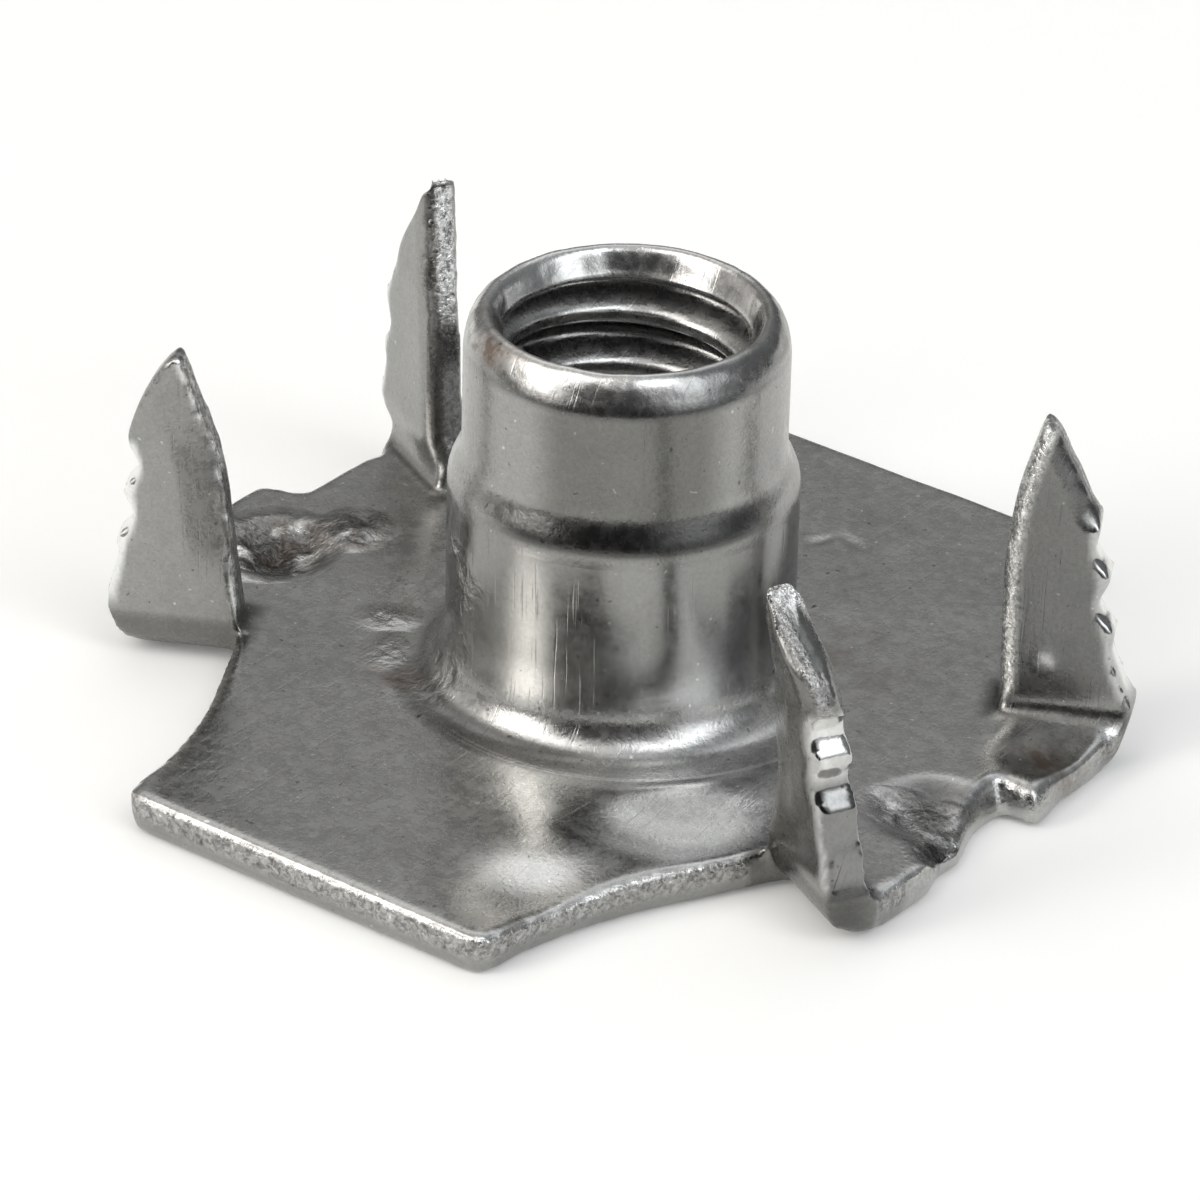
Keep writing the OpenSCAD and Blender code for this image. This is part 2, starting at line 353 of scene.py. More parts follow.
def resampled(line, step):
    """Even points along a line of (radius, height) points, both ends kept."""
    line = np.array(line)
    run = np.append(0, np.cumsum(np.linalg.norm(np.diff(line, axis=0), axis=1)))
    at = np.linspace(0, run[-1], max(2, round(run[-1] / step) + 1))
    return np.stack([np.interp(at, run, line[:, k]) for k in (0, 1)], 1)


def smoothed(line, passes):
    """The line with its corners softened, both ends kept."""
    for _ in range(passes):
        line[1:-1] = line[1:-1] * 0.5 + (line[:-2] + line[2:]) * 0.25
    return line


def tapped(radius, height, theta, sizes):
    """The bore's radii with a 60 degree thread cut into them: crests on the bore, flat roots
    outside it, and both ends running out."""
    start, crest, root = 0.037, 0.80, 0.18               # in turns, and in half pitches
    phase = (height / sizes.thread_pitch - theta[None, :] / (2 * math.pi) - start) % 1.0
    flank = np.abs(phase - 0.5) * 2                      # 0 at the root, 1 at the crest
    cut = sizes.thread_depth * np.clip((crest - flank) / (crest - root), 0, 1)
    full = ramp(9.05, 8.75, height) * ramp(0.15, 0.9, height)
    return np.maximum(radius, sizes.bore_radius + cut * full)


def uneven_barrel(flat, outer):
    """Pushes the barrel's outside about as the tools left it: drawn slightly uneven along its
    length, its lip hammered and a little flat towards the front, its foot wrinkled."""
    x, y, z = flat.T
    lip = ramp(8.8, 9.3, z)
    side = np.abs(from_front(np.arctan2(y, x)))
    foot = ramp(2.6, 1.6, z) * spot(flat, (-2.6, -3.4), (2.2, 1.4), 130)
    bump = 0.007 * grain(flat * [1, 1, 0.12], 1.1, 41) + 0.016 * lip * grain(flat, 0.24, 42)
    bump -= 0.075 * ramp(8.75, 9.25, z) * ramp(75, 30, side)
    bump += 0.07 * foot * grain(flat, 0.5, 44)
    outward = (flat * [1, 1, 0]) / np.maximum(np.hypot(x, y), 1)[:, None]
    flat = flat + outward * (bump * outer)[:, None]
    flat[:, 2] += 0.015 * lip * outer * grain(flat, 0.6, 43)
    return flat


def turned_barrel(sizes, around=184):
    """Rings of the barrel as (rings, around, 3) points; the thread is cut into the bore."""
    outside, inside = barrel_profile(sizes.bore_radius)
    outside = smoothed(resampled(outside, 0.088), 2)
    inside = resampled(inside, 0.12)
    rows = round((outside[-1, 1] - inside[0, 1]) / 0.08)
    wall = np.stack([np.full(rows - 1, sizes.bore_radius),
                     np.linspace(outside[-1, 1], inside[0, 1], rows + 1)[1:-1]], 1)
    profile = np.concatenate([outside, wall, inside])
    in_bore = np.arange(len(profile)) >= len(outside) - 3    # from the mouth's last rings on
    theta = np.linspace(0, 2 * math.pi, around, endpoint=False) + 0.01
    radius = np.repeat(profile[:, :1], around, axis=1)
    height = np.repeat(profile[:, 1:], around, axis=1)
    radius = np.where(in_bore[:, None], tapped(radius, height, theta, sizes), radius)
    rings = np.stack([radius * np.cos(theta), radius * np.sin(theta), height], 2)
    outer = (~in_bore[:, None] & (height > SHEET + 0.3)).ravel()
    return uneven_barrel(rings.reshape(-1, 3), outer).reshape(rings.shape)


def prong_axes(quadrant):
    """Unit vectors in plan: out along a prong's fold, and across it to its outer face."""
    a = math.radians(PRONG_ANGLE)
    sx, sy = quadrant
    return (np.array([sx * math.cos(a), sy * math.sin(a)]),
            np.array([-sx * math.sin(a), sy * math.cos(a)]))


def in_quadrant(points, quadrant):
    """True for the points on a prong's side of both the X and the Y axis."""
    return (points[:, 0] * quadrant[0] > 0) & (points[:, 1] * quadrant[1] > 0)


def blade_edges(along, z, band=0.14, bands=60):
    """Inner edge, outer edge and outer edge without its barbs, at each point's height."""
    bins = np.clip(((z - FOLD_Z) / band).astype(int), 0, bands - 1)
    low, high = np.full(bands, np.inf), np.full(bands, -np.inf)
    np.minimum.at(low, bins, along)
    np.maximum.at(high, bins, along)
    filled = np.flatnonzero(np.isfinite(low))
    at = FOLD_Z + band * (filled + 0.5)
    calm = np.convolve(np.pad(high[filled], 3, mode="edge"), np.full(7, 1 / 7), "valid")
    return [np.interp(z, at, line) for line in (low[filled], high[filled], calm)]


def measured_blade(part, quadrant):
    """Where each point of a prong's blade lies in it: t from the inner edge to the outer edge
    and s from the inner face to the outer face, both 0 to 1, and its distances from the edges
    of the bent blade in millimetres."""
    lean, shifts = PRONGS[quadrant]
    out, side = prong_axes(quadrant)
    z = part[:, 2]
    along, across = part[:, :2] @ out, part[:, :2] @ side
    rows = np.array(shifts)
    grow = ramp(FOLD_Z, FOLD_Z + 0.5, z)
    inner, outer, bow = (grow * np.interp(z, rows[:, 0], rows[:, k]) for k in (1, 2, 3))
    low, high, calm = blade_edges(along, z)
    t = np.clip((along - low) / (high - low), 0, 1)
    width = (high + outer) - (low + inner)
    face = INNER_FACE + (z - FOLD_Z) * math.tan(math.radians(lean))
    s = np.clip((across - face) / SHEET, 0, 1)
    pin_out, pin_z, pin_r = PIN_MARK
    pin = (1 - s) * (1 - ramp(0.0, pin_r, np.hypot(along - pin_out, z - pin_z)))
    return SimpleNamespace(
        z=z, along=along, across=across, t=t, s=s, inner=inner, outer=outer, bow=bow, grow=grow,
        from_inner=t * width, from_outer=(1 - t) * width,
        from_calm=np.clip(calm - along, 0, None),
        point=ramp(FIRST_BARB - 0.1, FIRST_BARB + 0.15, z),
        pin=pin * (quadrant == RIGHT))


def bent_blade(blade):
    """How far out and how far across each point of a blade lies once it is shaped."""
    # inner face: rolled rim along the inner edge, bevel from the tip to the first barb
    rim = 0.22 * np.clip(1 - blade.from_inner / 0.42, 0, 1) ** 2
    bevel = 0.30 * np.clip(1 - blade.from_calm / 0.5, 0, 1) * blade.point
    bevel *= ramp(0.0, 0.5, blade.from_inner)
    # outer face: bevel that widens up the inner edge, and the flat left by the stripper
    wide = 0.05 + 0.32 * ramp(3.4, 7.0, blade.z)
    taper = 0.5 * np.clip(wide - blade.from_inner, 0, None)
    taper = np.maximum(taper, 0.12 * np.clip(1 - blade.from_calm / 0.3, 0, 1))
    flat = 0.15 * np.clip((1.0 - blade.from_inner) / 0.8, 0, 1) * ramp(2.3, 3.3, blade.z)
    pressed = (1 - blade.s) * np.maximum(rim, bevel) - blade.s * np.maximum(taper, flat)
    across = blade.across + blade.grow * pressed + blade.bow - 0.05 * blade.pin
    return blade.along + (1 - blade.t) * blade.inner + blade.t * blade.outer, across


def blade_marks(part, blade, quadrant):
    """The marks on a prong's blade, and in "barbs" where its cut barbs need softening."""
    z, s, grow, inside = blade.z, blade.s, blade.grow, blade.t < 0.5
    on_inner_face = s < 0.5
    # the fracture shows above the first barb outside, and all the way up inside
    wall = ramp(0.2, 0.1, np.minimum(blade.from_inner, blade.from_outer)) * ramp(0.04, 0.2, s)
    wall *= grow * ramp(0.98, 0.8, s)
    wall = np.where(inside, wall, wall * ramp(0.25, 0.5, s))
    fracture = np.where(inside, 0.55 + 0.45 * ramp(4.2, 5.4, z), 0.6 * blade.point)
    # the punch burnished the barbs, and the folding tool the inner rim of the right pair; both
    # are also painted bright as highlights
    burnished = ramp(0.3, 0.12, blade.from_calm) * (1 - blade.point) * grow
    rolled = ramp(0.45, 0.3, blade.from_inner) * (1 - s) * grow * (quadrant[0] > 0)
    # painted highlights that single prongs have: beads of light along the left prong's edge,
    # and a strip high up the far prong's inner cut
    highlight_beads = (ramp(0.2, 0.08, blade.from_inner) * ramp(0.55, 0.75, s) * grow
             * ramp(-0.1, 0.2, grain(part, 0.16, 52)) * (quadrant == LEFT))
    highlit_strip = inside * wall * ramp(4.9, 5.5, z) * (quadrant == FAR)
    # painted shade: a shadow line beside the cut on the left pair, over one face each of the
    # right and the near prong, and in the inner cut half way up; darker on the strip below the
    # near prong's barbs
    seam = (np.exp(-((s - 0.13) / 0.09) ** 2) * ramp(0.16, 0.06, blade.from_inner) * grow
            * (quadrant[0] < 0))
    face = np.where(on_inner_face, quadrant == RIGHT, quadrant == NEAR) * (1 - wall)
    face = face * ramp(0.2, 0.4, blade.from_inner) * grow
    strip = ramp(0.15, 0.05, blade.from_outer) * ramp(4.3, 3.6, z) * (quadrant == NEAR)
    hollow_shade = inside * wall * ramp(5.2, 4.8, z) * ramp(3.7, 4.3, z)
    return {"torn": np.maximum(wall * fracture, 0.6 * rolled),
            "bare": np.maximum.reduce([0.8 * rolled, burnished, highlit_strip, highlight_beads,
                                       ramp(0.1, 0.7, blade.pin)]),
            "polish": burnished,
            "dark": np.maximum.reduce([0.75 * seam, 0.5 * face, 0.9 * strip, 0.8 * hollow_shade]),
            "barbs": (ramp(0.75, 0.5, blade.from_outer) * ramp(2.0, 2.6, z)
                      * ramp(FIRST_BARB + 0.9, FIRST_BARB + 0.4, z))}


def shape_prongs(points, marks):
    """Bends each blade to its own shape and marks it, because no two are bent alike."""
    radius = np.hypot(points[:, 0], points[:, 1])
    for quadrant in PRONGS:
        here = np.flatnonzero(in_quadrant(points, quadrant) & (points[:, 2] > FOLD_Z)
                              & (radius > 7.0))
        part = points[here]
        blade = measured_blade(part, quadrant)
        out, side = prong_axes(quadrant)
        along, across = bent_blade(blade)
        points[here, :2] = along[:, None] * out + across[:, None] * side
        for name, values in blade_marks(part, blade, quadrant).items():
            marks[name][here] = np.maximum(marks[name][here], values)
    return points


def softened(points, quads, keep, edge_roll):
    """The body with its edges rounded, more below than above, and soft folds at the feet."""
    points = relax(points, [quads], 2, 0.45 * keep)
    points = relax(points, [quads], edge_roll,
                   0.5 * keep * (1 - ramp(0.12, 0.62, points[:, 2])))
    fold = np.zeros(len(points))
    for quadrant in PRONGS:
        out, side = prong_axes(quadrant)
        near = np.hypot(points[:, :2] @ side - INNER_FACE + 0.15, points[:, 2] - SHEET - 0.15)
        bend = ramp(0.75, 0.35, near) * ramp(7.6, 8.1, points[:, :2] @ out)
        fold = np.where(in_quadrant(points, quadrant), bend, fold)
    return relax(points, [quads], 7, 0.5 * keep * fold)


def worn_right_end(points, quads):
    """The end towards +X, its cut slanting outwards to the underside and its tooth blunt."""
    x, y, z = points.T
    notch = ramp(8.3, 9.0, x) * ramp(-1.9, -1.0, y) * ramp(2.6, 1.6, y)
    points[:, 0] += 0.3 * notch * ramp(SHEET, 0.1, z) * (z < SHEET + 0.05)
    tooth = spot(points, (10.4, 1.4), (1.3, 1.5)) * ramp(1.3, 1.1, z)
    points[:, 1] -= 0.5 * tooth
    return relax(points, [quads], 14, 0.5 * tooth ** 0.5)


def dented(points, pit, keep, sizes):
    """The body with waves and dents in the flange's top, and torn floors in its pits."""
    plan = points * [1, 1, 0]
    top = ramp(1.5, 1.15, points[:, 2]) * keep
    wave = (0.6 * grain(plan, 3.1, 5) + 0.4 * grain(plan, 1.4, 6)) * sizes.sheet_wave
    points[:, 2] += wave * top * ramp(0.2, 0.8, points[:, 2])
    for centre, radii, turn, height in DENTS:
        push = height * spot(points, centre, radii, turn) * top
        points[:, 2] += push * ramp(0.3, 0.95, points[:, 2])
    rough = 0.7 * grain(points, 0.45, 11) + 0.5 * grain(points, 0.25, 12)
    points[:, 2] += sizes.pit_tear * rough * pit * top * ramp(0.2, 0.7, points[:, 2])
    return points


def torn_edges(points, normals, torn, edge_tear):
    """The body with grain in its sheared edges, stretched along the stroke of the punch, and
    with slightly uneven faces on the prongs."""
    tear = grain(points * [1, 1, 0.35], 0.2, 21) + 0.6 * grain(points, 0.3, 22)
    points += normals * (edge_tear * tear * torn * ramp(1.4, 1.1, points[:, 2]))[:, None]
    up = ramp(SHEET + 0.4, SHEET + 1.2, points[:, 2])
    points += normals * (0.02 * grain(points, 1.9, 31) * up)[:, None]
    return points


def press_flange(points, quads, sizes):
    """Shapes the pressed body, and returns its points and their marks."""
    radius = np.hypot(points[:, 0], points[:, 1])
    keep = ramp(SEAM_R + 0.25, SEAM_R + 0.9, radius)     # 0 at the seam ring, which stays put
    points = softened(points, quads, keep, sizes.edge_roll)
    points = worn_right_end(points, quads)
    normals = vertex_normals(points, [quads])
    marks = surface_marks(points, normals)
    marks["dark"] = np.maximum(marks["dark"], 0.6 * spot(points, (9.9, -5.3), (1.1, 1.1)))
    points = dented(points, marks["pit"], keep, sizes)
    points = torn_edges(points, normals, marks["torn"], sizes.edge_tear)
    marks["barbs"] = np.zeros(len(points))
    points = shape_prongs(points, marks)
    return relax(points, [quads], 4, 0.5 * marks.pop("barbs")), marks


def bent_feet(points):
    """1 where the sheet is bent up into a prong, and so isn't a cut edge, and 0 elsewhere."""
    feet = np.zeros(len(points))
    for quadrant in PRONGS:
        out, side = prong_axes(quadrant)
        along, across = points[:, :2] @ out, points[:, :2] @ side
        feet = np.maximum(feet, ramp(*FOOT_R, along) * ramp(-0.95, -0.7, across)
                          * ramp(1.05, 0.75, across))
    return feet


def edge_marks(points, at):
    """Marks of the flange's cut edges: a torn band over a burnished one, and an arris rubbed
    through to steel and painted as a beaded highlight.
    """
    feet = bent_feet(points)
    wall = 1 - ramp(0.45, 0.8, at.level)
    edge = wall * at.off_barrel * at.on_flange * (1 - feet)
    # painted highlight: a beaded bright line along the arris of the cut edges
    arris = (ramp(0.25, 0.5, at.level) * ramp(0.97, 0.8, at.level) * ramp(0.85, 0.93, at.z)
             * at.on_flange * at.off_barrel * (1 - feet))
    highlight_beads = 0.35 + 0.65 * ramp(-0.2, 0.3, grain(points, 0.16, 53))
    right_end = ramp(8.3, 8.8, at.x) * ramp(-3.6, -3.2, at.y) * ramp(4.2, 3.6, at.y)
    return {"torn": (0.7 * edge * ramp(0.36, 0.5, at.z) * (1 - 0.7 * arris)
                     * (1 - 0.7 * right_end)),
            "bare": arris * highlight_beads,
            "polish": 0.4 * edge * ramp(0.5, 0.36, at.z),
            "dull": np.maximum(0.55 * wall * at.off_barrel * (1 - right_end),
                               feet * ramp(1.6, 1.1, at.z))}


def pit_marks(points, at):
    """Marks of the coined pits: floors darkened with painted shade, with crumbs rubbed through
    to steel and painted bright as highlights, and a ledge in painted shade beside a burr with a
    painted highlight on the right."""
    facing_up = ramp(0.3, 0.6, at.up)
    # painted shade in the pits' floors, lifted where crumbs are painted bright as highlights
    pit = spots(points, PITS, 0.5) * at.on_flange * ramp(0.3, 0.6, at.z) * facing_up
    crumbs = ramp(0.2, 0.5, grain(points, 0.3, 51))
    # painted shade along the ledges, and a painted highlight on the burr beside them
    ledge_shade = spots(points, LEDGE_SHADES) * at.on_flange * facing_up
    burr_highlight = spot(points, (9.95, -0.35), (1.1, 0.45), 100) ** 0.5 * at.on_flange
    burr_highlight *= ramp(0.5, 0.8, at.z)
    return {"pit": pit, "torn": 0.7 * pit, "scuff": pit,
            "bare": np.maximum(pit * crumbs, 0.8 * burr_highlight),
            "dark": np.maximum(pit * (1 - 0.9 * crumbs), 0.85 * ledge_shade)}


def barrel_marks(at):
    """Marks of the barrel: burnished below its step, and duller above it with painted shade
    towards its front; painted shade in the step and under the lip on the front, at the lip's
    right, in the mouth and in the thread's roots; darker round the foot; and a painted
    highlight on the lip's top."""
    barrel = ramp(4.8, 4.4, at.radius)
    outside = ramp(3.3, 3.4, at.radius) * barrel
    burnished = 0.55 * ramp(5.6, 5.3, at.z) * ramp(1.8, 2.3, at.z)
    # painted shade: the barrel above its step darker within about 24 degrees of the front,
    # lighter at the sides
    above = ramp(5.9, 6.5, at.z) * ramp(9.0, 8.8, at.z)
    above *= 1 - 0.6 * ramp(24, 40, np.abs(at.turn - 2))
    below = 0.6 * ramp(2.2, 3.0, at.z) * ramp(6.0, 5.6, at.z)
    # painted shade in the step, on the front only
    step = ramp(5.55, 5.75, at.z) * ramp(6.45, 6.1, at.z)
    step *= 1 - 0.8 * ramp(35, 60, np.abs(at.turn - 5))
    # painted shade in a band under the lip, towards the front
    under_lip_shade = ramp(8.75, 8.86, at.z) * ramp(9.3, 8.95, at.z) * ramp(90, 30, np.abs(at.turn))
    # painted shade on the lip's right, and on the mouth towards the right rear
    brow_shade = (ramp(8.95, 9.1, at.z) * ramp(2.98, 3.05, at.radius) * ramp(12, 24, at.turn)
            * ramp(125, 105, at.turn))
    brim_shade = (ramp(9.0, 9.1, at.z) * ramp(3.0, 2.9, at.radius) * ramp(80, 95, at.turn)
            * ramp(135, 120, at.turn))
    # painted shade in the thread's roots
    thread_root_shade = (ramp(2.65, 2.95, at.radius) * ramp(3.3, 3.2, at.radius)
                   * ramp(8.9, 8.5, at.z))
    toe = (ramp(4.1, 4.3, at.radius) * ramp(5.2, 4.95, at.radius) * ramp(1.8, 1.55, at.z)
           * ramp(-95, -70, at.turn) * ramp(0, -16, at.turn))
    # painted highlight on the top of the lip
    return {"bare": 0.35 * barrel * ramp(9.15, 9.35, at.z),
            "polish": barrel * np.maximum(burnished, 0.15 * ramp(9.0, 9.2, at.z)),
            "dull": outside * np.maximum(above, below),
            "dark": np.maximum.reduce([outside * np.maximum(step, 0.75 * under_lip_shade),
                                       0.6 * brow_shade, 0.6 * brim_shade, 0.6 * thread_root_shade, 0.7 * toe])}


def wear_marks(points, at):
    """Marks of handling: stains and scuffs, the part of the die's rings that shows, and painted
    highlights on two humps of the flange."""
    # painted highlights on two humps of the flange
    hump_glints = np.maximum(spot(points, (3.9, -7.9), (2.0, 1.5), 60),
                       ramp(0.0, 0.5, spot(points, (4.9, -4.2), (2.6, 1.5), 36)))
    foot_stain = spot(points, (-3.3, -3.6), (1.2, 0.8)) * ramp(2.4, 1.6, at.z)
    lip_stain = ramp(9.0, 9.2, at.z) * ramp(-100, -80, at.turn) * ramp(-35, -55, at.turn)
    foot_scuff = 0.8 * spot(points, (-2.4, -3.2), (1.9, 1.5)) * ramp(5.0, 3.8, at.z)
    return {"bare": 0.9 * hump_glints * ramp(0.9, 0.96, at.z) * ramp(1.6, 1.3, at.z),
            "stain": np.maximum.reduce([spots(points, STAINS), foot_stain, lip_stain]),
            "scuff": np.maximum(spots(points, SCUFFS), foot_scuff) * ramp(5.2, 4.6, at.z),
            "scored": (ramp(62, 45, np.abs(at.turn - 5)) * at.on_flange
                       * ramp(0.5, 0.9, at.z))}


def surface_marks(points, normals):
    """The marks of a surface, as MARKS lists them, and in "pit" where the coined pits are."""
    x, y, z = points.T
    radius = np.hypot(x, y)
    at = SimpleNamespace(x=x, y=y, z=z, radius=radius, turn=from_front(np.arctan2(y, x)),
                         up=normals[:, 2], level=np.abs(normals[:, 2]),
                         on_flange=ramp(1.3, 1.1, z), off_barrel=ramp(5.2, 5.6, radius))
    marks = {name: np.zeros(len(points)) for name in MARKS + ("pit",)}
    for group in (edge_marks(points, at), pit_marks(points, at), barrel_marks(at),
                  wear_marks(points, at)):
        for name, values in group.items():
            marks[name] = np.maximum(marks[name], values)
    return marks


def joined(points, quads, rings):
    """The flange's points followed by the barrel's, and the faces of both: quads, and the
    triangles that close the seams above and below."""
    count, around = rings.shape[:2]
    index = len(points) + np.arange(count * around).reshape(count, around)
    upper, lower = open_rings(points, quads)
    points = np.concatenate([points, rings.reshape(-1, 3)])
    wrap = np.roll(index, -1, axis=1)
    tube = np.stack([index[:-1], wrap[:-1], wrap[1:], index[1:]], -1).reshape(-1, 4)
    first, last = index[0], index[-1]
    order = np.argsort(np.arctan2(points[first, 1], points[first, 0]))
    return points, [np.concatenate([quads, tube]),
                    np.concatenate([zipped(points, first[order], upper, False),
                                    zipped(points, last[order], lower, True)])]


def solid_mesh(name, points, faces, marks):
    """A smooth mesh in metres from points in mm, with each mark as a point attribute."""
    mesh = bpy.data.meshes.new(name)
    corners = np.concatenate([f.ravel() for f in faces])
    sizes = np.concatenate([np.full(len(f), f.shape[1]) for f in faces])
    mesh.vertices.add(len(points))
    mesh.vertices.foreach_set("co", (points / 1000).ravel())
    mesh.loops.add(len(corners))
    mesh.loops.foreach_set("vertex_index", corners)
    mesh.polygons.add(len(sizes))
    mesh.polygons.foreach_set("loop_start", np.cumsum(sizes) - sizes)
    mesh.polygons.foreach_set("use_smooth", np.ones(len(sizes), bool))
    for mark in MARKS:
        mesh.attributes.new(mark, "FLOAT", "POINT").data.foreach_set("value", marks[mark])
    mesh.update(calc_edges=True)
    if mesh.validate(verbose=False):
        raise RuntimeError(f"the mesh of {name} had faults")
    return mesh


# --- materials ----------------------------------------------------------------------------

def add(tree, kind, settings=None, inputs=None, out=0):
    """Adds a node with its settings, fills its inputs with values or links, and returns one
    of its outputs."""
    node = tree.nodes.new(kind)
    for key, value in (settings or {}).items():
        setattr(node, key, value)
    for key, value in (inputs or {}).items():
        if isinstance(value, bpy.types.NodeSocket):
            tree.links.new(value, node.inputs[key])
        else:
            node.inputs[key].default_value = value
    return node if out is None else node.outputs[out]


def zinc_plated_pressed_steel(finish):
    """Low-carbon steel sheet, blanked, drawn and folded, then thinly zinc plated: a satin grey
    with a fine mottle, brighter crystalline tears where the tool sheared it, and a duller
    skin where the barrel was stretched. Its marks also paint shade and highlights into it."""
    material = bpy.data.materials.new("zinc_plated_pressed_steel")
    material.use_nodes = True
    tree = material.node_tree
    tree.nodes.clear()
    node = partial(add, tree)
    place = node("ShaderNodeTexCoord", out="Object")
    mm = node("ShaderNodeMapping", {}, {"Vector": place, "Scale": (1000, 1000, 1000)})
    torn, bare, polish, dull, dark, stain, scuff, scored = (
        node("ShaderNodeAttribute", {"attribute_name": name}, out="Fac")
        for name in MARKS)

    # patterns, by their size in mm: mottle of the plating, clouds of it, its specks, crystals
    # of a broken edge, smears of wear, and bright or sooty flecks. Real specks and flecks are
    # a few hundredths of a millimetre, and are drawn coarser so that they show.
    mottle, cloud, speck, crystal, smear, fleck = (
        node("ShaderNodeTexNoise", {}, {"Vector": mm, "Scale": 1 / size, "Detail": detail,
                                        "Roughness": rough, "Distortion": bend})
        for size, detail, rough, bend in (
            (finish.grain_mm, 4.0, 0.65, 0.0), (2.2, 3.0, 0.6, 0.3), (0.09, 2.0, 0.6, 0.0),
            (0.13, 3.0, 0.65, 0.6), (0.7, 4.0, 0.6, 0.0), (0.13, 0.0, 0.5, 0.0)))
    # scratches a few hundredths of a millimetre wide: noise drawn out along two directions
    scratches = []
    for turn, gap in ((0.6, 0.07), (2.3, 0.09)):
        lines = node("ShaderNodeMapping", {}, {"Vector": mm, "Rotation": (0, 0.4, turn),
                                               "Scale": (1 / gap, 0.35, 0.35)})
        thin = node("ShaderNodeTexNoise", {}, {"Vector": lines, "Scale": 1.0, "Detail": 2.0})
        scratches.append(node("ShaderNodeMapRange", {}, {0: thin, 1: 0.66, 2: 0.72}))
    scratch = node("ShaderNodeMath", {"operation": "MAXIMUM"},
                   {0: scratches[0], 1: scratches[1]})

    # two rings that the drawing die scored in the sheet round the barrel's foot
    flat = node("ShaderNodeMapping", {}, {"Vector": place, "Scale": (1000, 1000, 0)})
    scores = []
    for centre, radius in SCORES:
        out = node("ShaderNodeVectorMath", {"operation": "DISTANCE"},
                   {0: flat, 1: (*centre, 0)}, out="Value")
        scores.append(node("ShaderNodeMath", {"operation": "COMPARE"},
                           {0: out, 1: radius, 2: 0.035}))
    score = node("ShaderNodeMath", {"operation": "MAXIMUM"}, {0: scores[0], 1: scores[1]})
    score = node("ShaderNodeMath", {"operation": "MULTIPLY"}, {0: score, 1: scored})

    # colour of the metal: plated, drawn, sheared or rubbed through to steel; the drawn colour
    # also paints shade on the barrel's front, and the steel colour paints highlights
    base = node("ShaderNodeMix", {"data_type": "RGBA"},
                {0: dull, 6: (*finish.plated, 1), 7: (*finish.drawn, 1)}, out=2)
    base = node("ShaderNodeMix", {"data_type": "RGBA"},
                {0: torn, 6: base, 7: (*finish.sheared, 1)}, out=2)
    base = node("ShaderNodeMix", {"data_type": "RGBA"},
                {0: bare, 6: base, 7: (*finish.bare, 1)}, out=2)
    # how much of it shows: an even skin or broken grain, with scores, flecks and soot, and
    # painted shade
    even = node("ShaderNodeMath", {"operation": "MULTIPLY_ADD"}, {0: mottle, 1: 0.32, 2: 0.57})
    even = node("ShaderNodeMath", {"operation": "MULTIPLY_ADD"}, {0: cloud, 1: 0.32, 2: even})
    even = node("ShaderNodeMath", {"operation": "MULTIPLY_ADD"}, {0: speck, 1: 0.38, 2: even})
    even = node("ShaderNodeMath", {"operation": "SUBTRACT"}, {0: even, 1: 0.08})
    broken = node("ShaderNodeMapRange", {}, {0: crystal, 1: 0.36, 2: 0.62, 3: 0.3, 4: 1.5})
    shade = node("ShaderNodeMix", {"data_type": "FLOAT"}, {0: torn, 2: even, 3: broken})
    shade = node("ShaderNodeMath", {"operation": "MULTIPLY_ADD"}, {0: score, 1: 0.5, 2: shade})
    light = node("ShaderNodeMapRange", {}, {0: fleck, 1: 0.83, 2: 0.86, 3: 0.0, 4: 0.7})
    shade = node("ShaderNodeMath", {"operation": "ADD"}, {0: shade, 1: light})
    soot = node("ShaderNodeMapRange", {}, {0: fleck, 1: 0.15, 2: 0.18, 3: 0.5, 4: 1.0})
    shade = node("ShaderNodeMath", {"operation": "MULTIPLY"}, {0: shade, 1: soot})
    shadow = node("ShaderNodeMapRange", {}, {0: dark, 1: 0.0, 2: 1.0, 3: 1.0, 4: 0.22})
    shade = node("ShaderNodeMath", {"operation": "MULTIPLY"}, {0: shade, 1: shadow})
    grey = node("ShaderNodeCombineColor", {}, {0: shade, 1: shade, 2: shade})
    base = node("ShaderNodeMix", {"data_type": "RGBA", "blend_type": "MULTIPLY"},
                {0: 1.0, 6: base, 7: grey}, out=2)
    # stains lie in patches
    patchy = node("ShaderNodeMapRange", {}, {0: smear, 1: 0.4, 2: 0.6, 3: 0.0, 4: 0.8})
    patchy = node("ShaderNodeMath", {"operation": "MULTIPLY"}, {0: patchy, 1: stain})
    colour = node("ShaderNodeMix", {"data_type": "RGBA"},
                  {0: patchy, 6: base, 7: (*finish.stain, 1)}, out=2)

    # roughness: satin plating, smoother where burnished and rougher where stained
    rough = node("ShaderNodeMapRange", {}, {0: mottle, 1: 0.3, 2: 0.7, 3: 0.21, 4: 0.33})
    smooth = node("ShaderNodeMapRange", {}, {0: polish, 1: 0.0, 2: 1.0, 3: 0.0, 4: 0.12})
    rough = node("ShaderNodeMath", {"operation": "SUBTRACT"}, {0: rough, 1: smooth})
    rough = node("ShaderNodeMath", {"operation": "MULTIPLY_ADD"},
                 {0: patchy, 1: 0.25, 2: rough})

